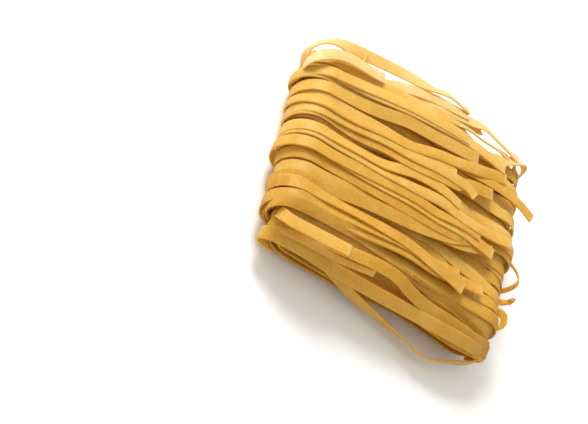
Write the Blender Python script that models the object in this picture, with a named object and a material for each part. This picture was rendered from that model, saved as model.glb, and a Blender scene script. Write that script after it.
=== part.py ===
"""A bundle of dried flat noodles, wound into a block that lies on one broad face.

Twenty-three long strands, laid side by side, are wound together round a flat loop: they pass over
the right half of the top, round the right fold, back underneath, round the left fold and over the
top again. There the last lengths slant across the first ones, and their cut ends stop short of the
right fold. What lies inside is one core, and the strands that show are fused to it. +X runs along
the strands, +Y across them and +Z up. The origin is on the surface that the bundle rests on, below
the middle of its outline.
"""

import math

import bmesh
import bpy
import numpy as np

MM = 0.001

# Sizes of a noodle, in metres
NOODLE_WIDTH = 0.0042
NOODLE_THICKNESS = 0.0012
LOOSE_WIDTH = 0.0030         # a loose length is turned on edge, so it shows less than its width

# Sizes of the wound block, measured from the middle of its core
RUN_HALF_LENGTH = 0.0350     # to where a fold begins
CORE_HALF_THICKNESS = 0.0069
CORE_HALF_WIDTH = 0.0375
CORE_EDGE_ROUNDING = 0.0100  # how far in the core starts to fall away at its long edges
CORE_EDGE_DEPTH = 0.97       # how far round a quarter ellipse that fall goes, of 1
REST_DEPTH = 0.0098          # down to the plane that the underside is trimmed to

# Lengths that follow from those sizes
FOLD_LENGTH = math.pi * (CORE_HALF_THICKNESS + 1.5 * NOODLE_THICKNESS)
RUN_LENGTH = 2 * RUN_HALF_LENGTH
TURN_LENGTH = 2 * RUN_LENGTH + 2 * FOLD_LENGTH

# How the strands settle on each other
SINK = 0.0003                # a strand fuses with what it lies on by this much
STEEPEST_LEAN = 0.8          # rise across a strand's width, as a slope
BEARING_WIDTH = 0.55         # share of the width between a strand's two lines of contact
STIFFNESS = 0.0030           # distance over which a strand rides up on to another
FIRST_END = 0.0080           # from the middle to the strands' first ends, which the last lengths hide
WANDER = 0.0012              # how far a strand strays from its lane underneath
RANDOM_SEED = 14

# Fineness of the pile's upper surface while it is laid, and of the finished faces
STEP_ALONG = 0.0010
CELL = 0.0005
LAYING_STEPS_PER_TURN = 20
RING_SPACING_ON_RUN = 0.0180
RING_SPACING_ON_FOLD = 0.0050
CORE_FACETS_PER_FOLD = 6
CORE_COLUMNS = 10
SHARE_OF_FACES_KEPT = 0.74    # of the fused solid's, after its slivers are thinned out

# The last lengths, in millimetres: place across at the left fold, at the middle and at the cut end,
# then the cut end's distance along from the middle. The strands that lie lowest come first.
LAST_LENGTHS_MM = [
    (35.0, 38.0, 39.0, 14),
    (31.0, 34.5, 38.0, 36),
    (20.5, 25.5, 29.0, 30),
    (17.5, 22.5, 25.5, 17),
    (27.5, 31.5, 34.0, 24),
    (24.0, 28.8, 30.3, 13),
    (14.0, 19.0, 23.0, 19),
    (3.0, 6.0, 10.0, 27),
    (11.5, 16.2, 19.5, 12),
    (5.5, 9.8, 12.5, 20),
    (8.5, 13.5, 26.5, 31),
    (-3.5, -2.5, -3.0, 36),
    (-0.5, 1.5, 4.6, 15),
    (-7.0, -5.5, -5.5, 24),
    (-12.5, -10.8, -9.0, 20),
    (-9.5, -8.6, -8.2, 30),
    (-36.0, -34.5, -36.0, 24),
    (-29.5, -27.5, -26.5, 30),
    (-33.0, -31.0, -33.0, 34),
    (-16.0, -13.2, -8.0, 30),
    (-20.0, -15.8, -12.0, 21),
    (-26.5, -24.0, -25.0, 20),
    (-23.5, -21.5, -21.5, 22),
]

# Lengths that stand clear of the block, as the few points in millimetres that each one runs through,
# with heights above the surface that the bundle rests on
LOOSE_LENGTHS_MM = {
    "far_loop": [(-41, 25, 6), (-45, 32, 12), (-36, 37.5, 16), (-20, 39.5, 17), (-4, 42, 17), (9, 42, 16)],
    "near_loop": [(-12, -35, 5), (0, -40, 4), (12, -42.5, 4), (24, -43, 4.5), (32, -41, 6), (36, -34, 9)],
    "stray_end": [(22, 19, 18), (32, 19.5, 19), (40, 19, 19), (47, 17, 18)],
}


def on_the_turn(length, rise):
    """Place in the X-Z plane and outward direction at a length along the turn.

    The length starts at the middle of the top and runs towards +X. A run moves the centre along X,
    and a fold turns the outward direction by half a circle about the run's end.
    """
    along = np.mod(length, TURN_LENGTH)
    stretches = [0, RUN_HALF_LENGTH, FOLD_LENGTH, RUN_LENGTH, FOLD_LENGTH, RUN_HALF_LENGTH]
    knots = np.cumsum(stretches)
    end = RUN_HALF_LENGTH
    centre = np.interp(along, knots, [0, end, end, -end, -end, 0])
    angle = np.interp(along, knots, [0, 0, math.pi, math.pi, 2 * math.pi, 2 * math.pi])
    outward = np.stack([np.sin(angle), np.cos(angle)], axis=-1)
    place = outward * (CORE_HALF_THICKNESS + rise)[:, None]
    place[:, 0] += centre
    return place, outward


def core_fall(across):
    """How far the core's surface falls away towards its long edges, as a quarter ellipse."""
    past = (np.abs(across) - CORE_HALF_WIDTH + CORE_EDGE_ROUNDING) / CORE_EDGE_ROUNDING
    past = np.clip(past, 0, CORE_EDGE_DEPTH)
    return CORE_HALF_THICKNESS * (np.sqrt(1 - past ** 2) - 1)


def smoothed(values, distance):
    """Gaussian average along a strand, with its ends held."""
    reach = math.ceil(3 * distance / STEP_ALONG)
    steps = np.arange(-reach, reach + 1) * STEP_ALONG
    weights = np.exp(-0.5 * (steps / distance) ** 2)
    padded = np.pad(values, reach, mode="edge")
    return np.convolve(padded, weights / weights.sum(), mode="valid")


def strand_routes():
    """Length along and place across of each strand: even lanes underneath, then its last length."""
    random = np.random.default_rng(RANDOM_SEED)
    folds = np.array([row[0] for row in LAST_LENGTHS_MM]) * MM
    even_lanes = np.linspace(folds.min(), folds.max(), len(folds))
    lanes = even_lanes[np.argsort(np.argsort(folds))]
    left_fold = TURN_LENGTH - RUN_HALF_LENGTH
    early = np.arange(FIRST_END, left_fold - RUN_HALF_LENGTH, RUN_HALF_LENGTH)
    routes = []
    for lane, (fold, middle, cut, cut_along) in zip(lanes, LAST_LENGTHS_MM):
        last_end = TURN_LENGTH + cut_along * MM
        strays = random.normal(0, WANDER, len(early))
        knots = [*early, left_fold, TURN_LENGTH, last_end]
        places = [*(lane + strays), fold * MM, middle * MM, cut * MM]
        along = np.arange(FIRST_END, last_end, STEP_ALONG)
        across = smoothed(np.interp(along, knots, places), 2 * STIFFNESS)
        routes.append((along, across))
    return routes


def settled(routes):
    """Rise and lean of every strand, laid a short length at a time on what is already there.

    The upper surface of the pile is kept on a grid over length along and place across. Each length
    of strand leans with the surface under its two halves and rests on the highest of it.
    """
    half_span = CORE_HALF_WIDTH + 2 * NOODLE_WIDTH
    cells_along = round(TURN_LENGTH / CELL)
    cells_across = round(2 * half_span / CELL)
    cell_places = (np.arange(cells_across) + 0.5) * CELL - half_span
    surface = np.tile(core_fall(cell_places), (cells_along, 1))
    profile = np.linspace(-0.5, 0.5, 13) * NOODLE_WIDTH
    half = len(profile) // 2
    rises = [np.zeros(len(along)) for along, _ in routes]
    leans = [np.zeros(len(along)) for along, _ in routes]

    def cells(along, across, slope):
        rows = ((along[:, None] - slope[:, None] * profile) / CELL).astype(int)
        columns = ((across[:, None] + profile + half_span) / CELL).astype(int)
        return np.mod(rows, cells_along), columns.clip(0, cells_across - 1)

    laying_step = TURN_LENGTH / LAYING_STEPS_PER_TURN
    look_round = round(3 * STIFFNESS / STEP_ALONG)
    for laid in range(2 * LAYING_STEPS_PER_TURN):
        for (along, across), rise, lean in zip(routes, rises, leans):
            first, last = np.searchsorted(along, [laid * laying_step, (laid + 1) * laying_step])
            if last <= first:
                continue
            before = max(0, first - look_round)
            near = slice(before, min(len(along), last + look_round))
            slope = np.gradient(across[near], STEP_ALONG)
            under = surface[cells(along[near], across[near], slope)]
            step_up = under[:, half + 1:].max(axis=1) - under[:, :half].max(axis=1)
            new_lean = smoothed(step_up / (BEARING_WIDTH * NOODLE_WIDTH), STIFFNESS)
            new_lean = new_lean.clip(-STEEPEST_LEAN, STEEPEST_LEAN)
            new_rise = (under - new_lean[:, None] * profile).max(axis=1)
            new_rise[:first - before] = rise[before:first]
            new_rise = smoothed(new_rise, STIFFNESS)
            kept = slice(first - before, last - before)
            rise[first:last] = new_rise[kept]
            lean[first:last] = new_lean[kept]
            top = new_rise[kept, None] + new_lean[kept, None] * profile + NOODLE_THICKNESS - SINK
            rows, columns = cells(along[first:last], across[first:last], slope[kept])
            for shift in range(round(STEP_ALONG / CELL)):
                np.maximum.at(surface, (np.mod(rows + shift, cells_along), columns), top)
    return rises, leans


def ring_lengths(first, last):
    """Lengths at which a strand gets a ring of points: even on each run, closer on each fold."""
    right_fold_end = RUN_HALF_LENGTH + FOLD_LENGTH
    stretches = (
        (RUN_HALF_LENGTH, RING_SPACING_ON_RUN),
        (right_fold_end, RING_SPACING_ON_FOLD),
        (right_fold_end + RUN_LENGTH, RING_SPACING_ON_RUN),
        (TURN_LENGTH - RUN_HALF_LENGTH, RING_SPACING_ON_FOLD),
        (last, RING_SPACING_ON_RUN),
    )
    lengths = [first]
    for end, spacing in stretches:
        pieces = math.ceil((end - lengths[-1]) / spacing)
        lengths.extend(np.linspace(lengths[-1], end, pieces + 1)[1:])
    return np.array(lengths)


def closed_tube(name, rings):
    """An object skinned over rings of points, with a flat face on the first and the last ring."""
    shape = bmesh.new()
    rows = [[shape.verts.new(point) for point in ring] for ring in rings]
    for row, following in zip(rows, rows[1:]):
        for corner in range(len(row)):
            after = (corner + 1) % len(row)
            shape.faces.new((row[corner], row[after], following[after], following[corner]))
    shape.faces.new(rows[0][::-1])
    shape.faces.new(rows[-1])
    bmesh.ops.triangulate(shape, faces=shape.faces)
    bmesh.ops.recalc_face_normals(shape, faces=shape.faces)
    mesh = bpy.data.meshes.new(name)
    shape.to_mesh(mesh)
    shape.free()
    return bpy.data.objects.new(name, mesh)


def ribbon(name, centres, width_line, width):
    """A four-sided strand along a line of points, as wide as given along its width line."""
    tangent = np.gradient(centres, axis=0)
    tangent /= np.linalg.norm(tangent, axis=1)[:, None]
    side = width_line - (width_line * tangent).sum(axis=1)[:, None] * tangent
    side *= width / 2 / np.linalg.norm(side, axis=1)[:, None]
    up = np.cross(tangent, side)
    up *= NOODLE_THICKNESS / 2 / np.linalg.norm(up, axis=1)[:, None]
    corners = [centres - side - up, centres + side - up, centres + side + up, centres - side + up]
    return closed_tube(name, np.stack(corners, axis=1))


def wound_strand(name, route, rise, lean):
    """One strand of the block, from its route, rise and lean."""
    along, across = route
    lengths = ring_lengths(along[0], along[-1])
    centre_rise = np.interp(lengths, along, rise) + NOODLE_THICKNESS / 2 - SINK
    place, outward = on_the_turn(lengths, centre_rise)
    sideways = np.interp(lengths, along, across)
    slant = np.interp(lengths, along, lean)
    centres = np.stack([place[:, 0], sideways, place[:, 1]], axis=1)
    level = np.ones(len(lengths))
    width_line = np.stack([slant * outward[:, 0], level, slant * outward[:, 1]], axis=1)
    return ribbon(name, centres, width_line, NOODLE_WIDTH)


def loose_strand(name, waypoints_mm):
    """A loose length near its waypoints, as a softened line with its width halfway to upright."""
    waypoints = np.array(waypoints_mm, dtype=float) * MM
    waypoints[:, 2] -= REST_DEPTH
    knots = np.arange(len(waypoints))
    fine = np.linspace(0, knots[-1], 3 * len(waypoints))
    line = np.stack([np.interp(fine, knots, waypoints[:, axis]) for axis in range(3)], axis=1)
    for _ in range(3):
        line[1:-1] = (line[:-2] + 2 * line[1:-1] + line[2:]) / 4
    width_line = np.cross([0, 0, 1], np.gradient(line, axis=0))
    width_line[:, 2] = np.linalg.norm(width_line, axis=1)
    return ribbon(name, line, width_line, LOOSE_WIDTH)


def core_block(name):
    """The smaller core: the turn's outline, swept across with rounded long edges."""
    angles = np.linspace(0, 1, CORE_FACETS_PER_FOLD + 1)
    right_fold = RUN_HALF_LENGTH + angles * FOLD_LENGTH
    lengths = np.concatenate([right_fold, right_fold + TURN_LENGTH / 2])
    columns = CORE_HALF_WIDTH * np.sin(np.linspace(-0.5, 0.5, CORE_COLUMNS + 1) * math.pi)
    rings = []
    for across in columns:
        place, _ = on_the_turn(lengths, np.full(len(lengths), core_fall(across)))
        rings.append([(x, across, z) for x, z in place])
    return closed_tube(name, rings)


def apply_modifiers(target):
    """Replace an object's mesh by what its modifiers make of it, and clear them."""
    evaluated = target.evaluated_get(bpy.context.evaluated_depsgraph_get())
    result = bpy.data.meshes.new_from_object(evaluated)
    target.modifiers.clear()
    target.data = result


def connected(start):
    """All vertices that edges join to the given one."""
    found = {start}
    front = [start]
    while front:
        vertex = front.pop()
        for edge in vertex.link_edges:
            other = edge.other_vert(vertex)
            if other not in found:
                found.add(other)
                front.append(other)
    return found


def keep_largest_shell(target):
    """Drop loose scraps and the skins of sealed hollows."""
    shape = bmesh.new()
    shape.from_mesh(target.data)
    unseen = set(shape.verts)
    shells = []
    while unseen:
        shells.append(connected(next(iter(unseen))))
        unseen -= shells[-1]
    shells.sort(key=len)
    for shell in shells[:-1]:
        bmesh.ops.delete(shape, geom=list(shell), context="VERTS")
    bmesh.ops.triangulate(shape, faces=shape.faces)
    shape.to_mesh(target.data)
    shape.free()


def stand_on_origin(target):
    """Move the mesh so that its box stands on the ground with the origin below its middle."""
    points = np.array([vertex.co for vertex in target.data.vertices])
    low = points.min(axis=0)
    middle = (low + points.max(axis=0)) / 2
    for vertex in target.data.vertices:
        vertex.co.x -= middle[0]
        vertex.co.y -= middle[1]
        vertex.co.z -= low[2]


def noodle_material():
    """Dried noodle: pale gold with a satin surface."""
    material = bpy.data.materials.new("dried_noodle")
    material.use_nodes = True
    surface = material.node_tree.nodes["Principled BSDF"]
    surface.inputs["Base Color"].default_value = (0.62, 0.36, 0.10, 1)
    surface.inputs["Roughness"].default_value = 0.45
    surface.inputs["Metallic"].default_value = 0.0
    return material


# Clear the scene
for old in list(bpy.data.objects):
    bpy.data.objects.remove(old, do_unlink=True)

# Lay the strands round the core
strands = bpy.data.collections.new("strands")
bpy.context.scene.collection.children.link(strands)
routes = strand_routes()
for number, laid in enumerate(zip(routes, *settled(routes))):
    strands.objects.link(wound_strand(f"strand_{number}", *laid))
for name, waypoints in LOOSE_LENGTHS_MM.items():
    strands.objects.link(loose_strand(name, waypoints))

# Fuse them into one solid
bundle = core_block("noodle_bundle")
bpy.context.scene.collection.objects.link(bundle)
fuse = bundle.modifiers.new("Fuse", "BOOLEAN")
fuse.operation = "UNION"
fuse.operand_type = "COLLECTION"
fuse.collection = strands
apply_modifiers(bundle)
for strand in list(strands.objects):
    bpy.data.objects.remove(strand, do_unlink=True)
bpy.data.collections.remove(strands)

# Thin out the slivers that the union leaves
keep_largest_shell(bundle)
thin_out = bundle.modifiers.new("Thin out", "DECIMATE")
thin_out.ratio = SHARE_OF_FACES_KEPT
apply_modifiers(bundle)

# Trim the underside flat where it rests
bpy.ops.mesh.primitive_cube_add(size=1, location=(0, 0, -REST_DEPTH - 0.5))
below_ground = bpy.context.object
trim = bundle.modifiers.new("Trim", "BOOLEAN")
trim.operation = "DIFFERENCE"
trim.object = below_ground
apply_modifiers(bundle)
bpy.data.objects.remove(below_ground, do_unlink=True)
keep_largest_shell(bundle)

# Stand it on the ground and give it its material
stand_on_origin(bundle)
bundle.data.materials.clear()
bundle.data.materials.append(noodle_material())
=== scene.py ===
import math

import bpy
import numpy as np
from mathutils import Matrix, Vector


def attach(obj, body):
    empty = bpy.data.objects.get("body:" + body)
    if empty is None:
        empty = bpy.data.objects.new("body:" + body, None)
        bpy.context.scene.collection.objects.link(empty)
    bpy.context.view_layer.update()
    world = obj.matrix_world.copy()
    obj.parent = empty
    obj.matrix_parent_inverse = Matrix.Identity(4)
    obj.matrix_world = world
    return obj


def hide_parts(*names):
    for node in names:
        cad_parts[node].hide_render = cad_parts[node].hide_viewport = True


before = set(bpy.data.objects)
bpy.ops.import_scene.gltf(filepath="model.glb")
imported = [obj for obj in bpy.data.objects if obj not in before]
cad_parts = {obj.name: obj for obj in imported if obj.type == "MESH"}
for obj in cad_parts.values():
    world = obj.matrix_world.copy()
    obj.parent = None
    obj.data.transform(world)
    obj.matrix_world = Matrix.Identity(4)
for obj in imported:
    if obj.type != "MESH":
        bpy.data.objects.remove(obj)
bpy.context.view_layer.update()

# Inner turns: the lengths of dried flat noodle that lie under the last turn. Each is a ribbon of
# dough, rolled, slit and dried, and all of them were wound side by side round a flat loop while
# they were soft, so that they settled into each other's gaps.
MM = 0.001
NOODLE_WIDTH = 0.0042
NOODLE_THICKNESS = 0.00065

# The flat loop: two straight runs, above and below, joined by two half-round folds
RUN_HALF_LENGTH = 0.0338      # from the middle of the block to where a fold begins
CORE_HALF_THICKNESS = 0.0050
CORE_HALF_WIDTH = 0.0385
CORE_EDGE_ROUNDING = 0.0070
CORE_EDGE_FALL = CORE_HALF_THICKNESS + 2 * MM
STEEPEST_FALL = 0.97          # the rounding ends at this share of its width, short of upright
TOP_SWELL = 0.0016            # the top stands higher in its middle than at the folds
STRAIGHT_UP = 0.999           # only the run on top faces further up than this
REST_DEPTH = 0.0098           # from the middle of the block down to the ground
BLOCK_MIDDLE = (-0.0013, 0.0004)
TURNS = 3
FOLD_LENGTH = math.pi * (CORE_HALF_THICKNESS + TURNS * NOODLE_THICKNESS)
RUN_LENGTH = 2 * RUN_HALF_LENGTH
TURN_LENGTH = 2 * RUN_LENGTH + 2 * FOLD_LENGTH
TAKEOVER = 0.006              # the last turn begins this far past the middle of the top
LAST_TURN_START = (TURNS - 1) * TURN_LENGTH + TAKEOVER
SHORTEST_INNER_LENGTH = 0.01

# How the block was pressed, and how it spread as it dried
FAR_SPREAD = 0.006            # the lower turns reach further out at the far edge
FAR_SPREAD_FULL_AT = 0.030    # distance from the middle, across
NEAR_RECESS = 0.0070          # the lower turns lie further in along the near edge
NEAR_RECESS_FULL_AT = 0.036
RECESS_MIDDLE = 0.0120        # the recess is deepest here, along, and fades within its reach
RECESS_REACH = 0.0200
NEAR_FLATNESS = 0.85          # share of its height that the top loses at the near edge
NEAR_DROP_START = 0.0295
NEAR_DROP_WIDTH = 0.0045
RIGHT_STRETCH = 0.0022        # each fold reaches further out, the left one more at the far edge
LEFT_STRETCH = 0.0012
LEFT_SLANT = 0.025
LEFT_SLANT_START = -0.030
NEAR_SHRINK = 0.0030          # the folds reach less far out where the near edge is flat
LOOSENESS = 0.0018            # the last turn lies a little clear of the others, right of here
LOOSE_FROM = -0.0200
LOOSE_WITHIN = 0.0200

# How a strand settles on those under it
SINK = 0.0001                 # the next one sinks this far into it
GIVE = 0.0003                 # it may lie this much deeper than its highest support
SHARE_OF_LEAN = 0.6           # it takes on this share of the slope under it
STEEPEST_LEAN = 0.4
BEARING_WIDTH = 0.55          # share of its width between its two supports
STIFFNESS = 0.0070            # it doesn't follow shorter bumps than this
SETTLING_PASSES = 4
PROFILE_POINTS = 15           # points across a strand at which it is set down
FEWEST_POINTS = 3             # a shorter length isn't laid
STEP_ALONG = 0.0010
CELL = 0.0005
EASING = 0.0015               # the finished rise and lean are evened out over this length

# How a strand strays from its lane, and where the inner lanes lie
INNER_LANES = (-0.0345, 0.0295)
STARTS_WITHIN = 1.4           # turns over which the strands begin, one after the other
WANDER = 0.0020               # from one run or fold to the next
RIPPLE = 0.0060               # from point to point, before it is evened out
RIPPLE_LENGTH = 0.012
EARLIEST_CUT_MM = 10          # the place across at the cut is reached no sooner along than this

# Places on top, along and across, where neighbours dried apart and left a dark gap
PARTINGS_MM = [
    (-22, -31.3),
    (29, -12.3),
    (28, -17),
    (7, -3.5),
    (10, -20.2),
    (-14, 2.5),
    (-8, 15),
    (20, 9),
]
PARTING_LENGTH = 0.0075
PARTING_REACH = 0.0055        # strands within about this distance are pushed aside
PARTING_WIDTH = 0.0016
PARTING_SOFTNESS = 0.0004     # a strand this near the gap's middle is pushed less

# Place across at the left fold, at the middle and at the cut end, the cut end's distance along, and
# how far the left fold stands off
LAST_LENGTHS_MM = [
    (-35.6, -35.8, -35.8, 46, 0.3),
    (-33.2, -33.4, -34.0, 50, 0.0),
    (-28.8, -26.2, -26.2, 30, 0.6),
    (-26.5, -24.0, -25.0, 20, 1.0),
    (-16.0, -13.2, -8.0, 30, 0.1),
    (-20.0, -15.8, -12.0, 21, 0.5),
    (-23.5, -21.5, -21.5, 22, 0.8),
    (-12.5, -10.8, -9.0, 20, 0.3),
    (-9.5, -8.6, -8.2, 30, 0.1),
    (-7.0, -5.5, -5.5, 24, 0.9),
    (-3.5, -2.5, -3.0, 36, 0.2),
    (-0.5, 1.5, 4.6, 15, 0.0),
    (3.0, 6.0, 10.0, 27, 0.8),
    (11.5, 16.2, 19.5, 12, 0.3),
    (5.5, 9.8, 12.5, 20, 0.1),
    (17.5, 22.5, 25.5, 17, 2.6),
    (14.0, 19.0, 23.0, 19, 0.6),
    (8.5, 13.5, 26.5, 31, 0.2),
    (24.5, 30.0, 32.0, -54, 0.0),
    (20.5, 25.5, 29.0, 30, 0.5),
    (27.3, 31.0, 33.0, 20, 0.0),
    (20.3, 27.7, 30.0, 14, 0.6),
]


def on_the_turn(length, rise):
    """Place in the X-Z plane and outward direction at a length along the turn.

    The length starts at the middle of the top and runs towards +X. A run moves the centre along X,
    and a fold turns the outward direction by half a circle about the run's end. The run on top
    swells by a raised cosine.
    """
    along = np.mod(length, TURN_LENGTH)
    knots = np.cumsum([0, RUN_HALF_LENGTH, FOLD_LENGTH, RUN_LENGTH, FOLD_LENGTH, RUN_HALF_LENGTH])
    end = RUN_HALF_LENGTH
    centre = np.interp(along, knots, [0, end, end, -end, -end, 0])
    angle = np.interp(along, knots, [0, 0, math.pi, math.pi, 2 * math.pi, 2 * math.pi])
    outward = np.stack([np.sin(angle), np.cos(angle)], axis=-1)
    place = outward * (CORE_HALF_THICKNESS + rise)[:, None]
    place[:, 0] += centre
    swell = TOP_SWELL * (1 + np.cos(math.pi * centre / RUN_HALF_LENGTH)) / 2
    place[:, 1] += swell * (outward[:, 1] > STRAIGHT_UP)
    return place, outward


def past_the_top(length):
    """Distance along from the middle of the top, from minus to plus half a turn."""
    return np.mod(length + TURN_LENGTH / 2, TURN_LENGTH) - TURN_LENGTH / 2


def core_fall(across):
    """How far the core falls away towards its long edges: a quarter of an ellipse."""
    past = (np.abs(across) - CORE_HALF_WIDTH + CORE_EDGE_ROUNDING) / CORE_EDGE_ROUNDING
    past = np.clip(past, 0, STEEPEST_FALL)
    return CORE_EDGE_FALL * (np.sqrt(1 - past ** 2) - 1)


def smoothed(values, distance):
    """Gaussian average along a strand: each value becomes the mean of those near it."""
    reach = math.ceil(3 * distance / STEP_ALONG)
    steps = np.arange(-reach, reach + 1) * STEP_ALONG
    weights = np.exp(-0.5 * (steps / distance) ** 2)
    return np.convolve(np.pad(values, reach, mode="edge"), weights / weights.sum(), mode="valid")


def room_above(length, lean):
    """Highest rise at which a strand still clears the tray that the block dried on.

    It is the distance down to the tray over the share of the outward direction that points down,
    which is taken as 0.01 or more, so that the limit is far off where a strand faces up.
    """
    _, outward = on_the_turn(length, np.zeros(len(length)))
    to_the_tray = REST_DEPTH / np.maximum(-outward[:, 1], 0.01)
    return to_the_tray - CORE_HALF_THICKNESS - NOODLE_THICKNESS - np.abs(lean) * NOODLE_WIDTH / 2


def parted(along, across):
    """Place across, pushed away from the middle of each gap on top, less with distance from it."""
    top_place = past_the_top(along)
    pushed = across.copy()
    for x, y in np.array(PARTINGS_MM) * MM:
        beside = across - y
        near = np.exp(-((top_place - x) / PARTING_LENGTH) ** 2 - (beside / PARTING_REACH) ** 2)
        pushed += PARTING_WIDTH * near * beside / np.hypot(beside, PARTING_SOFTNESS)
    return pushed


def strand_routes(random):
    """Length along and place across of each strand: a lane that strays, then its last length."""
    folds = np.array([row[0] for row in LAST_LENGTHS_MM]) * MM
    even_lanes = np.linspace(*INNER_LANES, len(folds))
    lanes = even_lanes[np.argsort(np.argsort(folds))]
    starts = random.permutation(np.linspace(0, STARTS_WITHIN * TURN_LENGTH, len(folds)))
    left_fold = TURNS * TURN_LENGTH - RUN_HALF_LENGTH
    early = np.arange(0, left_fold - RUN_HALF_LENGTH, RUN_HALF_LENGTH)
    routes = []
    for lane, start, (fold, middle, cut, cut_along, _) in zip(lanes, starts, LAST_LENGTHS_MM):
        last_end = TURNS * TURN_LENGTH + cut_along * MM
        past_the_middle = TURNS * TURN_LENGTH + max(cut_along, EARLIEST_CUT_MM) * MM
        strays = random.normal(0, WANDER, len(early))
        knots = [*early, left_fold, TURNS * TURN_LENGTH, past_the_middle]
        places = [*(lane + strays), fold * MM, middle * MM, cut * MM]
        along = np.arange(start, last_end, STEP_ALONG)
        across = smoothed(np.interp(along, knots, places), 2 * STIFFNESS)
        across += smoothed(random.normal(0, RIPPLE, len(along)), RIPPLE_LENGTH)
        routes.append((along, parted(along, across)))
    return routes


def settled(routes, random):
    """Rise and lean of every strand, laid half a turn at a time on what is already there.

    The pile's upper surface is a grid over length along and place across. Each length of strand
    leans with the surface under its two halves and rests on the highest of it. The last lengths,
    from the middle of the underside to the cut ends, are laid in the order of their rows.
    """
    half_span = CORE_HALF_WIDTH + 2 * NOODLE_WIDTH
    cells_along = round(TURN_LENGTH / CELL)
    cells_across = round(2 * half_span / CELL)
    cell_places = (np.arange(cells_across) + 0.5) * CELL - half_span
    surface = np.tile(core_fall(cell_places), (cells_along, 1))
    profile = np.linspace(-0.5, 0.5, PROFILE_POINTS) * NOODLE_WIDTH
    half = len(profile) // 2
    rises = [np.zeros(len(along)) for along, _ in routes]
    leans = [np.zeros(len(along)) for along, _ in routes]

    def cells(along, across, slope):
        rows = ((along[:, None] - slope[:, None] * profile) / CELL).astype(int)
        columns = ((across[:, None] + profile + half_span) / CELL).astype(int)
        return np.mod(rows, cells_along), columns.clip(0, cells_across - 1)

    look_round = round(3 * STIFFNESS / STEP_ALONG)
    marks = np.array([*range(2 * TURNS), 2 * TURNS + 2]) * TURN_LENGTH / 2
    for mark, next_mark in zip(marks[:-1], marks[1:]):
        order = random.permutation(len(routes))
        if next_mark == marks[-1]:
            order = range(len(routes))
            top_place = past_the_top(np.arange(cells_along) * CELL)
            surface += LOOSENESS * np.clip((top_place - LOOSE_FROM) / LOOSE_WITHIN, 0, 1)[:, None]
        for strand in order:
            (along, across), rise, lean = routes[strand], rises[strand], leans[strand]
            first, last = np.searchsorted(along, [mark, next_mark])
            if last - first < FEWEST_POINTS:
                continue
            before = max(0, first - look_round)
            near = slice(before, min(len(along), last + look_round))
            slope = np.gradient(across[near], STEP_ALONG)
            under = surface[cells(along[near], across[near], slope)]
            step_up = under[:, half + 1:].max(axis=1) - under[:, :half].max(axis=1)
            new_lean = smoothed(step_up / (BEARING_WIDTH * NOODLE_WIDTH), STIFFNESS)
            new_lean = (SHARE_OF_LEAN * new_lean).clip(-STEEPEST_LEAN, STEEPEST_LEAN)
            resting = (under - new_lean[:, None] * profile).max(axis=1)
            resting[:first - before] = rise[before:first]
            new_rise = resting
            for _ in range(SETTLING_PASSES):
                new_rise = np.maximum(resting - GIVE, smoothed(new_rise, STIFFNESS))
            new_rise = smoothed(new_rise, STIFFNESS / 2)
            new_rise = np.minimum(new_rise, room_above(along[near], new_lean))
            kept = slice(first - before, last - before)
            rise[first:last] = new_rise[kept]
            lean[first:last] = new_lean[kept]
            top = new_rise[kept, None] + new_lean[kept, None] * profile + NOODLE_THICKNESS - SINK
            rows, columns = cells(along[first:last], across[first:last], slope[kept])
            for shift in range(round(STEP_ALONG / CELL)):
                np.maximum.at(surface, (np.mod(rows + shift, cells_along), columns), top)
    return rises, leans


def in_the_frame(points):
    """Points measured from the middle of the block, moved to the frame's origin on the ground."""
    return points + np.array([*BLOCK_MIDDLE, REST_DEPTH])


def near_drop(across):
    """Share of its height that the top has lost towards the near edge: a smooth step."""
    past = np.clip((-NEAR_DROP_START - across) / NEAR_DROP_WIDTH, 0, 1)
    return NEAR_FLATNESS * past * past * (3 - 2 * past)


def wound_line(route, rise, lean, span):
    """Centre line and width line of the part of a strand that lies between two lengths along.

    The place on the turn is stretched at the folds, shifted across under the block and lowered by
    the near drop. The width line is level, tilted by the strand's lean and by that drop's slope.
    """
    along, across = route
    part = (along >= span[0]) & (along <= span[1])
    across = across[part]
    place, outward = on_the_turn(along[part], smoothed(rise, EASING)[part] + NOODLE_THICKNESS / 2)
    left_side = np.clip(-place[:, 0] / RUN_HALF_LENGTH, 0, 1)
    right_side = np.clip(place[:, 0] / RUN_HALF_LENGTH, 0, 1)
    drop = near_drop(across)
    left_stretch = LEFT_STRETCH + LEFT_SLANT * (across - LEFT_SLANT_START) - NEAR_SHRINK * drop
    stretch = right_side * (RIGHT_STRETCH - NEAR_SHRINK * drop) - left_side * left_stretch
    far_side = np.clip(across / FAR_SPREAD_FULL_AT, 0, 1)
    near_side = np.clip(-across / NEAR_RECESS_FULL_AT, 0, 1)
    recess = NEAR_RECESS * np.exp(-((place[:, 0] - RECESS_MIDDLE) / RECESS_REACH) ** 2)
    shift = (FAR_SPREAD * far_side + recess * near_side) * np.clip(-place[:, 1] / REST_DEPTH, 0, 1)
    height = np.maximum(place[:, 1], 0)
    centres = np.stack([place[:, 0] + stretch, across + shift, place[:, 1] - drop * height], axis=1)
    lost = near_drop(across - NOODLE_WIDTH / 4) - near_drop(across + NOODLE_WIDTH / 4)
    fall = lost * height / (NOODLE_WIDTH / 2)
    slant = smoothed(lean, EASING)[part]
    upward = slant * outward[:, 1] + fall
    width_line = np.stack([slant * outward[:, 0], np.ones(part.sum()), upward], axis=1)
    return in_the_frame(centres), width_line


INNER_CORNERS = 8             # corners of a ring round a strand that hardly shows
SHOWN_CORNERS = 12


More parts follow.
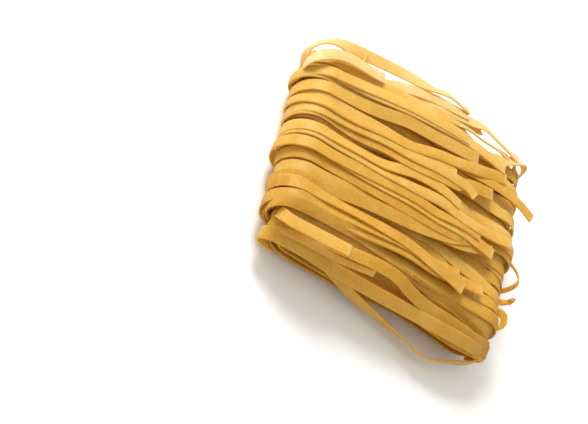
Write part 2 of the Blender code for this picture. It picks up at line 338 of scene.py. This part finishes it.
def ribbon_rings(centres, width_line, width, corners, cup):
    """Rings round a strand: a superellipse of power 6, whose edges curl up by the cup height."""
    tangent = np.gradient(centres, axis=0)
    tangent /= np.linalg.norm(tangent, axis=1)[:, None]
    side = width_line - (width_line * tangent).sum(axis=1)[:, None] * tangent
    side /= np.linalg.norm(side, axis=1)[:, None]
    up = np.cross(tangent, side)
    angle = np.linspace(0, 2 * math.pi, corners, endpoint=False)
    sideways = np.sign(np.cos(angle)) * np.abs(np.cos(angle)) ** (1 / 3)
    upwards = np.sign(np.sin(angle)) * np.abs(np.sin(angle)) ** (1 / 3)
    out = sideways[None, :, None] * side[:, None] * (width / 2)[:, None, None]
    lift = NOODLE_THICKNESS / 2 * upwards + cup * sideways ** 2
    return centres[:, None] + out + lift[None, :, None] * up[:, None]


TONE_SHIFT_MM = 500           # moves the drawn lines along, so that no two strands are alike
FAR_FROM_A_CUT = 1.0
SHARP_ANGLE = math.radians(60)


def noodle_piece(name, strands, cut_short):
    """One mesh of many strands, each skinned over its rings and closed by a flat face at each end.

    The UV map holds the place round the ring and millimetres along the strand. Two attributes hold
    the strand's own tone and the distance to its cut end, which is far off if nothing is cut short.
    """
    points, quads, caps, across_uv, along_uv, tones, ends = [], [], [], [], [], [], []
    start = 0
    for rings, tone in strands:
        stations, corners = rings.shape[:2]
        steps = np.linalg.norm(np.diff(rings.mean(axis=1), axis=0), axis=1)
        length = np.concatenate([[0], np.cumsum(steps)])
        row = np.arange(stations - 1)[:, None] * corners + start
        corner = np.arange(corners)[None]
        after = (corner + 1) % corners
        next_row = row + corners
        quads.append(np.stack([row + corner, row + after, next_row + after, next_row + corner], -1))
        caps.append(start + np.arange(corners)[::-1])
        caps.append(start + (stations - 1) * corners + np.arange(corners))
        points.append(rings.reshape(-1, 3))
        across_uv.append(np.tile(np.linspace(0, 1, corners, endpoint=False), stations))
        along_uv.append(np.repeat(length, corners) * 1000 + tone * TONE_SHIFT_MM)
        tones.append(np.full(stations * corners, tone))
        to_the_cut = length[-1] - length if cut_short else np.full(stations, FAR_FROM_A_CUT)
        ends.append(np.repeat(to_the_cut, corners) * 1000)
        start += stations * corners
    points = np.concatenate(points)
    quads = np.concatenate([quad.reshape(-1, 4) for quad in quads])
    mesh = bpy.data.meshes.new(name)
    mesh.from_pydata(points.tolist(), [], quads.tolist() + [cap.tolist() for cap in caps])
    around = np.concatenate(across_uv)
    lengthwise = np.concatenate(along_uv)
    loops = np.zeros(len(mesh.loops), dtype=np.int32)
    mesh.loops.foreach_get("vertex_index", loops)
    map_points = np.stack([around[loops], lengthwise[loops]], axis=1)
    last_column = (np.arange(4 * len(quads)) % 4 == 1) | (np.arange(4 * len(quads)) % 4 == 2)
    wraps = last_column & (map_points[:4 * len(quads), 0] == 0)
    map_points[:4 * len(quads), 0][wraps] = 1
    mesh.uv_layers.new(name="strand").data.foreach_set("uv", map_points.ravel())
    mesh.attributes.new("tone", "FLOAT", "POINT").data.foreach_set("value", np.concatenate(tones))
    mesh.attributes.new("end_mm", "FLOAT", "POINT").data.foreach_set("value", np.concatenate(ends))
    mesh.shade_smooth()
    mesh.set_sharp_from_angle(angle=SHARP_ANGLE)
    mesh.update()
    piece = bpy.data.objects.new(name, mesh)
    bpy.context.scene.collection.objects.link(piece)
    return piece


class Value:
    """A shader socket whose sums and products add Math nodes."""

    def __init__(self, shader, socket):
        self.shader = shader
        self.socket = socket

    def _with(self, operation, first, second):
        made = self.shader.node("ShaderNodeMath", {"operation": operation}, {0: first, 1: second})
        return Value(self.shader, made.outputs[0])

    def __add__(self, other):
        return self._with("ADD", self, other)

    def __sub__(self, other):
        return self._with("SUBTRACT", self, other)

    def __rsub__(self, other):
        return self._with("SUBTRACT", other, self)

    def __mul__(self, other):
        return self._with("MULTIPLY", self, other)

    __radd__ = __add__
    __rmul__ = __mul__


class Shader:
    """A material's node tree, with one method that adds any node."""

    def __init__(self, name):
        self.material = bpy.data.materials.new(name)
        self.material.use_nodes = True
        self.tree = self.material.node_tree
        self.surface = self.tree.nodes["Principled BSDF"]

    def put(self, socket, value):
        if isinstance(value, Value):
            self.tree.links.new(value.socket, socket)
        else:
            socket.default_value = value

    def node(self, kind, settings, sockets):
        made = self.tree.nodes.new(kind)
        for name, setting in settings.items():
            if name == "stops":
                ramp = made.color_ramp
                while len(ramp.elements) < len(setting):
                    ramp.elements.new(0.5)
                for element, (position, colour) in zip(ramp.elements, setting):
                    element.position = position
                    element.color = (*colour, 1)
            else:
                setattr(made, name, setting)
        for key, value in sockets.items():
            self.put(made.inputs[key], value)
        return made

    def value(self, kind, settings, sockets, output=0):
        return Value(self, self.node(kind, settings, sockets).outputs[output])


DRY_END_MM = 1.3              # the dough is paler and drier over this length at a cut end
DRY_END_SHARE = 0.55
LIGHT_LET_THROUGH = 0.36


def noodle_finish():
    """Dried dough: gold, lets some light through, with fine lines drawn along each strand.

    Lines, patches, clouds, grain and the strand's own tone add up to a level from dark to pale.
    """
    shader = Shader("dried_noodle")
    place = shader.value("ShaderNodeTexCoord", {}, {}, "Object")
    strand = shader.value("ShaderNodeUVMap", {"uv_map": "strand"}, {})
    tone = shader.value("ShaderNodeAttribute", {"attribute_name": "tone"}, {}, "Fac")
    end_mm = shader.value("ShaderNodeAttribute", {"attribute_name": "end_mm"}, {}, "Fac")
    stretched = shader.value("ShaderNodeMapping", {}, {"Vector": strand, "Scale": (42.0, 0.10, 1.0)})
    lines = shader.value("ShaderNodeTexNoise", {}, {"Vector": stretched, "Scale": 1.0, "Detail": 3.0})
    patches = shader.value("ShaderNodeTexNoise", {}, {"Vector": place, "Scale": 260.0, "Detail": 3.0})
    clouds = shader.value("ShaderNodeTexNoise", {}, {"Vector": place, "Scale": 55.0, "Detail": 2.0})
    grain = shader.value("ShaderNodeTexNoise", {}, {"Vector": place, "Scale": 1500.0, "Detail": 2.0})
    level = 0.12 * lines + 0.26 * patches + 0.34 * clouds + 0.48 * grain + 0.16 * tone - 0.14
    colour = shader.value("ShaderNodeValToRGB", {"stops": [
        (0.26, (0.560, 0.270, 0.024)),
        (0.50, (0.735, 0.440, 0.068)),
        (0.72, (0.840, 0.590, 0.155)),
        (1.00, (0.890, 0.760, 0.430)),
    ]}, {"Fac": level})
    dry_end = shader.value("ShaderNodeMapRange", {}, {
        "Value": end_mm,
        "From Min": 0.0,
        "From Max": DRY_END_MM,
        "To Min": DRY_END_SHARE,
        "To Max": 0.0,
    })
    colour = shader.value("ShaderNodeMix", {"data_type": "RGBA"}, {
        "Factor": dry_end,
        6: colour,
        7: (0.84, 0.62, 0.32, 1),
    }, 2)
    shader.put(shader.surface.inputs["Base Color"], colour)
    shader.put(shader.surface.inputs["Roughness"], 0.36 + 0.22 * lines)
    height = 0.55 * lines + 0.60 * grain + 0.9 * patches
    bump = shader.value("ShaderNodeBump", {}, {
        "Height": height,
        "Strength": 0.45,
        "Distance": 0.00022,
    })
    shader.put(shader.surface.inputs["Normal"], bump)
    shader.surface.inputs["Subsurface Weight"].default_value = 0.25
    shader.surface.inputs["Subsurface Radius"].default_value = (1.0, 0.65, 0.3)
    shader.surface.inputs["Subsurface Scale"].default_value = 0.0008
    shader.surface.inputs["Specular IOR Level"].default_value = 0.28
    lit_through = shader.node("ShaderNodeBsdfTranslucent", {}, {"Color": (0.97, 0.71, 0.24, 1)})
    both = shader.node("ShaderNodeMixShader", {}, {0: LIGHT_LET_THROUGH})
    shader.tree.links.new(shader.surface.outputs[0], both.inputs[1])
    shader.tree.links.new(lit_through.outputs[0], both.inputs[2])
    shader.tree.links.new(both.outputs[0], shader.tree.nodes["Material Output"].inputs["Surface"])
    return shader.material


random = np.random.default_rng(14)
routes = strand_routes(random)
rises, leans = settled(routes, random)
dried_noodle = noodle_finish()
tones = random.uniform(0, 1, len(routes))
inner_strands = []
for route, rise, lean, tone in zip(routes, rises, leans, tones):
    if route[0][0] < LAST_TURN_START - SHORTEST_INNER_LENGTH:
        line, width_line = wound_line(route, rise, lean, (0, LAST_TURN_START))
        width = np.full(len(line), NOODLE_WIDTH)
        rings = ribbon_rings(line, width_line, width, INNER_CORNERS, 0.0)
        inner_strands.append((rings, tone))
inner_turns = noodle_piece("inner_turns", inner_strands, False)
inner_turns.data.materials.append(dried_noodle)
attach(inner_turns, "root")
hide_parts("noodle_bundle")

# Heart turns: the first lengths that were wound, each turn a little wider than the one inside it.
# Only their edges show, as flat ovals in the hollows of the block's two long sides.
HEART_TURNS = 7
HEART_PITCH = 0.0007          # each turn lies this much further out than the one before it
HEART_LANES = (-0.0300, -0.0265, 0.0275, 0.0305, 0.0335)
HEART_PULL = 0.0055           # towards the left fold the outermost far lanes lie further in
HEART_PULL_START = 0.0180
HEART_PULL_WITHIN = 0.0160
HEART_PULL_LANE = 0.029       # lanes further out than this are pulled

heart_strands = []
for lane in HEART_LANES:
    along = np.arange(0, HEART_TURNS * TURN_LENGTH, STEP_ALONG)
    across = lane + smoothed(random.normal(0, RIPPLE, len(along)), RIPPLE_LENGTH)
    rise = HEART_PITCH * (along / TURN_LENGTH - HEART_TURNS)
    line, width_line = wound_line((along, across), rise, np.zeros(len(along)), (0, along[-1]))
    left_end = np.clip((-line[:, 0] - HEART_PULL_START) / HEART_PULL_WITHIN, 0, 1)
    line[:, 1] -= HEART_PULL * left_end * (lane > HEART_PULL_LANE)
    width = np.full(len(line[::2]), NOODLE_WIDTH)
    rings = ribbon_rings(line[::2], width_line[::2], width, INNER_CORNERS, 0.0)
    heart_strands.append((rings, random.uniform(0, 1)))
heart_turns = noodle_piece("heart_turns", heart_strands, False)
heart_turns.data.materials.append(dried_noodle)
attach(heart_turns, "root")
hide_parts("noodle_bundle")

# Core: the hidden middle of the block, where more lengths of noodle lie. It keeps the light from
# showing through between the turns.
CORE_CORNERS = 24
CORE_SECTIONS = 9
CORE_REACH = 0.026            # half of its size across
CORE_RISE = 0.0015
CORE_TAPER = 0.10             # it narrows by this share at its two ends, and hardly before them
CORE_TONE = 0.2

around = np.linspace(0, 2 * math.pi, CORE_CORNERS, endpoint=False)
core_lengths = around / (2 * math.pi) * TURN_LENGTH
core_places, _ = on_the_turn(core_lengths, np.full(CORE_CORNERS, CORE_RISE))
core_rings = []
for section in np.linspace(-1, 1, CORE_SECTIONS):
    core_share = 1.0 - CORE_TAPER * section ** 8
    core_across = np.full(CORE_CORNERS, section * CORE_REACH)
    ring = np.stack([core_places[:, 0] * core_share, core_across, core_places[:, 1] * core_share], 1)
    core_rings.append(in_the_frame(ring))
core = noodle_piece("core", [(np.stack(core_rings), CORE_TONE)], False)
core.data.materials.append(dried_noodle)
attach(core, "root")
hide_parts("noodle_bundle")

# The last turn: the same strands where they show, from the right fold under the block and round
# the left fold to their cut ends on top. Each dried a little loose, so its folds stand off by
# different amounts, and it leans and swells slightly along its length.
FOLD_LOOSENESS = 0.0012       # the most that a right fold stands off, and over which length
FOLD_REACH = 0.008
TWIST = 0.20                  # how much the lean changes along a strand, and over which length
TWIST_LENGTH = 0.006
SWELLING = 0.05               # the same for its width, as a share of it
SWELLING_LENGTH = 0.004
CUP_HEIGHT = 0.00008
FAR_STRANDS_PALER = 0.75      # tone gained from the middle to the far edge

left_fold = TURNS * TURN_LENGTH - RUN_HALF_LENGTH - FOLD_LENGTH / 2
right_fold = left_fold - TURN_LENGTH / 2
last_strands = []
for route, rise, lean, tone, row in zip(routes, rises, leans, tones, LAST_LENGTHS_MM):
    along = route[0]
    left_stand_off = row[4] * MM
    right_stand_off = random.uniform(0, 1) ** 2 * FOLD_LOOSENESS
    rise = rise + left_stand_off * np.exp(-((along - left_fold) / FOLD_REACH) ** 2)
    rise = rise + right_stand_off * np.exp(-((along - right_fold) / FOLD_REACH) ** 2)
    lean = lean + smoothed(random.normal(0, 1, len(along)), TWIST_LENGTH) * TWIST
    line, width_line = wound_line(route, rise, lean, (LAST_TURN_START - STEP_ALONG, along[-1]))
    swelling = smoothed(random.normal(0, 1, len(line)), SWELLING_LENGTH)
    width = NOODLE_WIDTH * (1 + SWELLING * swelling)
    cup = random.normal(0, CUP_HEIGHT)
    paler = FAR_STRANDS_PALER * (row[1] * MM / CORE_HALF_WIDTH)
    last_strands.append((ribbon_rings(line, width_line, width, SHOWN_CORNERS, cup), tone + paler))
last_turn = noodle_piece("last_turn", last_strands, True)
last_turn.data.materials.append(dried_noodle)
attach(last_turn, "root")
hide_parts("noodle_bundle")

# Loose lengths: loops and ends that dried clear of the block at its long edges, and a short cut
# strand and a humped one that lie along the near edge. Each one keeps the curve it dried in.
# A waypoint is x, y and height above the ground, and how far the width is turned from level.
FOLDED_LENGTHS_MM = {
    "far_outer": [
        (-41, 24.5, 5.5, -60), (-45.6, 25.5, 12, -72), (-46.4, 27.2, 15.5, -60), (-44, 29.6, 18.1, -42),
        (-39.8, 31.9, 19, -20), (-35, 33, 19.2, 15), (-31, 33.9, 19.2, 22), (-23.7, 35.6, 19.2, 12),
        (-15.7, 37.3, 19.2, 5), (-7.4, 38.6, 19.2, -5), (-1, 40, 19.2, -30), (5, 41.6, 19.2, -32),
        (10.4, 41.1, 19.2, -32), (14.5, 40.8, 19.2, -25),
    ],
    "far_crown": [
        (-38, 22, 4.5, 0), (-43, 21.5, 8.5, 0), (-45.4, 21.2, 12, 0), (-46.2, 21.2, 15.5, 0),
        (-45.5, 22, 18.2, 0), (-43.3, 23.8, 19.7, 0), (-39.5, 26.2, 20.3, 0), (-35, 27.8, 20.4, 0),
        (-29, 28.6, 20.3, 0), (-25, 29, 20.2, 0), (-20.4, 29.9, 20, 0),
    ],
    "far_ended": [
        (-23, 29.1, 17.8, 0), (-18, 30.2, 18.6, 0), (-13, 32.5, 18.9, 0), (-6.8, 34.8, 19, 0),
        (-0.4, 36.5, 19.1, 0), (5.8, 37.4, 19.2, -5), (14.2, 38.8, 19.3, -15),
    ],
    "far_thin_loop": [
        (-14, 30.5, 17, 0), (-6, 32, 18.2, 0), (2.2, 34.7, 19, 0), (8.5, 36.2, 19, 0),
        (15.7, 37.8, 19, -10), (21.3, 39.2, 19, -22), (26.9, 37.8, 19, -30), (32.2, 36.6, 19, -28),
        (38, 35.8, 18.6, -10),
    ],
    "far_tie": [
        (2, 31.5, 18.3, 0), (9, 33.2, 18.9, -15), (14.2, 34.2, 19, -32), (20.9, 33.9, 19, -36),
        (27.2, 34.2, 19, -36), (33.1, 34.2, 18.8, -20),
    ],
    "near_loop": [
        (-22, -35.5, 9.5, 60), (-11.7, -38.4, 8, 80), (-3.6, -39, 6, 88), (3.2, -39.4, 5, 98),
        (10.6, -40.6, 4.5, 112), (15, -41.1, 4.2, 124), (19.3, -41.9, 4, 130), (24, -42.7, 4, 122),
        (29.5, -41.6, 4.4, 110), (35.5, -39, 4.6, 100), (41, -36.4, 4.8, 90), (44, -33.8, 5.8, 80),
        (44, -31, 8, 70),
    ],
    "stray_end": [
        (6, 17.2, 17.2, 0), (20, 18.5, 19.3, 0), (32, 19, 20, 5), (40, 18.6, 19.6, 10),
        (47.5, 16.8, 18.6, 10),
    ],
    "humped_strand": [
        (-38, -34, 9, 30), (-30, -34.6, 14, 20), (-20, -35, 17.3, 15), (-10.6, -35, 19.7, 20),
        (-4.6, -35, 20.4, 25), (0.7, -35, 19.7, 30), (6, -35, 17.7, 35), (14, -35, 15.8, 40),
        (24.5, -35, 15.6, 40), (34, -34.6, 14.4, 40), (40, -33.2, 12.6, 32), (43.6, -31.8, 10, 20),
        (44, -31, 6, 5),
    ],
    "nested_strand": [
        (-38, -30, 5, 0), (-42.4, -30.2, 9, 0), (-43, -30.3, 13.5, 5), (-41, -30.1, 16.6, 15),
        (-36, -29.6, 17.9, 26), (-30, -29, 18.1, 28), (-22, -28.4, 18.2, 28), (-14, -27.8, 18.2, 26),
        (-6, -27.3, 18, 20),
    ],
    "short_cut_strand": [
        (-40.5, -32.5, 13.5, 0), (-39.8, -34.2, 15.4, 4), (-37.6, -35.4, 16.6, 8),
        (-33.6, -35.8, 17.6, 8), (-28.7, -35.9, 18.4, 8), (-17.3, -36, 20, 8),
    ],
    "light_side_strand": [
        (-34, -36.2, 3, 0), (-39, -36.8, 4.3, 10), (-41.3, -37.5, 6.8, 25), (-40.4, -38, 9.2, 40),
        (-37.6, -38, 10.4, 42), (-28, -38, 11.4, 42), (-16.7, -38, 11.2, 42), (-4, -38, 11.9, 42),
        (6.9, -38, 12.8, 42), (18, -38, 13.8, 42), (29.5, -37.4, 14, 42), (37, -36, 12.4, 40),
        (41.5, -34.8, 10.4, 32), (44.3, -33.4, 7.6, 20), (44.3, -32.2, 4.5, 5),
    ],
    "dark_side_strand": [
        (-41, -34.5, 10.5, 20), (-38.7, -35.5, 12.4, 30), (-35, -35.6, 13.4, 30),
        (-31, -35.6, 14.3, 30), (-26.5, -35.6, 14.9, 30),
    ],
    "thin_side_strand": [
        (-40, -37, 10.5, 45), (-37, -37.2, 12.8, 45), (-32, -37.3, 14, 50), (-25, -37.3, 14.8, 60),
        (-17, -37, 15.5, 65), (-7, -36.5, 17.6, 70),
    ],
}
CURLED_LENGTHS_MM = {
    "far_bridge": [
        (-28, 35.6, 18.6, -30), (-28.4, 34.3, 18.9, -30), (-29, 32.1, 19.1, -30),
        (-29.5, 29.5, 19, -30),
    ],
    "far_corner": [
        (12, 27.5, 19, 0), (21.1, 28.1, 19.3, 0), (29.6, 30.7, 19.2, 0), (34.5, 33.8, 18.9, -15),
        (38.8, 36.4, 18, -40), (41.2, 37, 17, -60), (42.2, 35.9, 16, -75), (41.8, 33.8, 14.5, -80),
        (41, 31.5, 12.5, -80),
    ],
    "far_corner_tie": [
        (34.8, 35, 18.4, -40), (36.5, 34.4, 18, -50), (37.6, 33.3, 17, -60), (39.8, 33, 15.5, -70),
        (41.4, 32.2, 13.5, -80),
    ],
    "right_side_loop": [
        (42.5, 2.5, 11, 125), (44.8, 0.5, 13.2, 130), (46.1, -3.2, 15.6, 134), (46.3, -6.7, 16.9, 134),
        (45.6, -9.2, 16.8, 134), (44.2, -10.8, 14.5, 120), (42.5, -11.5, 12, 110),
    ],
    "right_stray_end": [
        (42.5, -14.5, 11, 60), (44.2, -15.6, 14, 60), (44.7, -15.9, 16.8, 60), (44.9, -14.9, 18.8, 60),
    ],
    "right_low_loop": [
        (43, -17, 9, 80), (44.4, -19.6, 13.6, 80), (44.8, -22.5, 14.8, 80), (44.4, -24.8, 14, 80),
        (43.2, -25.5, 11, 80),
    ],
}
LOOSE_WIDTH = 0.0038          # of the loose lengths that the next list doesn't name
LOOSE_WIDTHS = {
    "far_outer": 0.0042,
    "light_side_strand": 0.0042,
    "far_bridge": 0.0016,
    "far_tie": 0.0030,
    "far_corner_tie": 0.0024,
    "thin_side_strand": 0.0022,
    "right_side_loop": 0.0018,
    "right_stray_end": 0.0020,
    "right_low_loop": 0.0026,
    "stray_end": 0.0032,
}
FAR_PALENESS = 1.7            # the lengths out in the air at the far edge are given a paler tone
NEAR_PALENESS = -0.3
CURVE_POINTS = 40             # between one waypoint and the next, before even steps are taken


def loose_line(waypoints_mm, folded):
    """Centre and width lines through waypoints: a Catmull-Rom curve, resampled at even steps.

    A folded strand measures the turn of its width from Y, and a curled one from the level line
    across its own path.
    """
    knots = np.array(waypoints_mm, dtype=float)
    padded = np.concatenate([2 * knots[:1] - knots[1:2], knots, 2 * knots[-1:] - knots[-2:-1]])
    step = np.linspace(0, 1, CURVE_POINTS, endpoint=False)[:, None, None]
    before, here, there, after = padded[:-3], padded[1:-2], padded[2:-1], padded[3:]
    cubic = -before + 3 * here - 3 * there + after
    square = 2 * before - 5 * here + 4 * there - after
    curve = 0.5 * (2 * here + (there - before) * step + square * step ** 2 + cubic * step ** 3)
    curve = curve.transpose(1, 0, 2).reshape(-1, 4)
    steps = np.linalg.norm(np.diff(curve[:, :3], axis=0), axis=1)
    length = np.concatenate([[0], np.cumsum(steps)])
    even = np.arange(0, length[-1], STEP_ALONG / MM)
    curve = np.stack([np.interp(even, length, column) for column in curve.T], axis=1)
    centres = curve[:, :3] * MM + np.array([*BLOCK_MIDDLE, 0])
    turn = np.radians(curve[:, 3:])
    level = np.array([[0.0, 1.0, 0.0]])
    if not folded:
        level = np.cross([0, 0, 1], np.gradient(centres, axis=0))
        level /= np.linalg.norm(level, axis=1)[:, None]
    return centres, level * np.cos(turn) + np.array([0, 0, 1]) * np.sin(turn)


loose_strands = []
for lengths, folded in ((FOLDED_LENGTHS_MM, True), (CURLED_LENGTHS_MM, False)):
    for name, waypoints in lengths.items():
        line, width_line = loose_line(waypoints, folded)
        width = np.full(len(line), LOOSE_WIDTHS.get(name, LOOSE_WIDTH))
        paler = FAR_PALENESS if name.startswith("far") else NEAR_PALENESS
        tone = random.uniform(0, 1) + paler
        rings = ribbon_rings(line, width_line, width, SHOWN_CORNERS, 0.0)
        loose_strands.append((rings, tone))
loose_lengths = noodle_piece("loose_lengths", loose_strands, True)
loose_lengths.data.materials.append(dried_noodle)
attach(loose_lengths, "root")
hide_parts("noodle_bundle")

# Floor, light and camera: a pale surface under soft daylight from the side of the left fold, seen
# from above at the angle at which the block was photographed.
FLOOR_HALF = 3
floor_corners = [(FLOOR_HALF * x, FLOOR_HALF * y, 0) for x, y in ((-1, -1), (1, -1), (1, 1), (-1, 1))]
floor_mesh = bpy.data.meshes.new("floor")
floor_mesh.from_pydata(floor_corners, [], [(0, 1, 2, 3)])
floor = bpy.data.objects.new("floor", floor_mesh)
bpy.context.scene.collection.objects.link(floor)
pale = Shader("pale_floor")
pale.surface.inputs["Base Color"].default_value = (0.93, 0.95, 0.98, 1)
pale.surface.inputs["Roughness"].default_value = 0.8
floor_mesh.materials.append(pale.material)

world = bpy.data.worlds.new("soft_daylight")
world.use_nodes = True
world.node_tree.nodes["Background"].inputs["Color"].default_value = (1.0, 0.965, 0.87, 1)
world.node_tree.nodes["Background"].inputs["Strength"].default_value = 0.78
bpy.context.scene.world = world


def soft_light(name, place, aim, size, power):
    """A square soft box at a place, facing the point it is aimed at."""
    lamp = bpy.data.lights.new(name, "AREA")
    lamp.size = size
    lamp.energy = power
    box = bpy.data.objects.new(name, lamp)
    box.location = place
    box.rotation_euler = (Vector(aim) - Vector(place)).to_track_quat("-Z", "Y").to_euler()
    bpy.context.scene.collection.objects.link(box)


soft_light("key_light", (-0.36, 0.46, 0.50), (0, 0, 0.01), size=0.30, power=6.3)

CAMERA_PLACE = (-0.1877, -0.2624, 0.2996)
CAMERA_AIM = (-0.0354, -0.0266, 0.0100)
CAMERA_ROLL = math.radians(57.4)
lens = bpy.data.cameras.new("camera")
lens.lens = 85
lens.sensor_width = 36
camera = bpy.data.objects.new("camera", lens)
line_of_sight = Vector(CAMERA_AIM) - Vector(CAMERA_PLACE)
looking = line_of_sight.to_track_quat("-Z", "Y").to_matrix().to_4x4()
rolled = looking @ Matrix.Rotation(CAMERA_ROLL, 4, "Z")
camera.matrix_world = Matrix.Translation(CAMERA_PLACE) @ rolled
bpy.context.scene.collection.objects.link(camera)
bpy.context.scene.camera = camera
bpy.context.scene.view_settings.view_transform = "Standard"
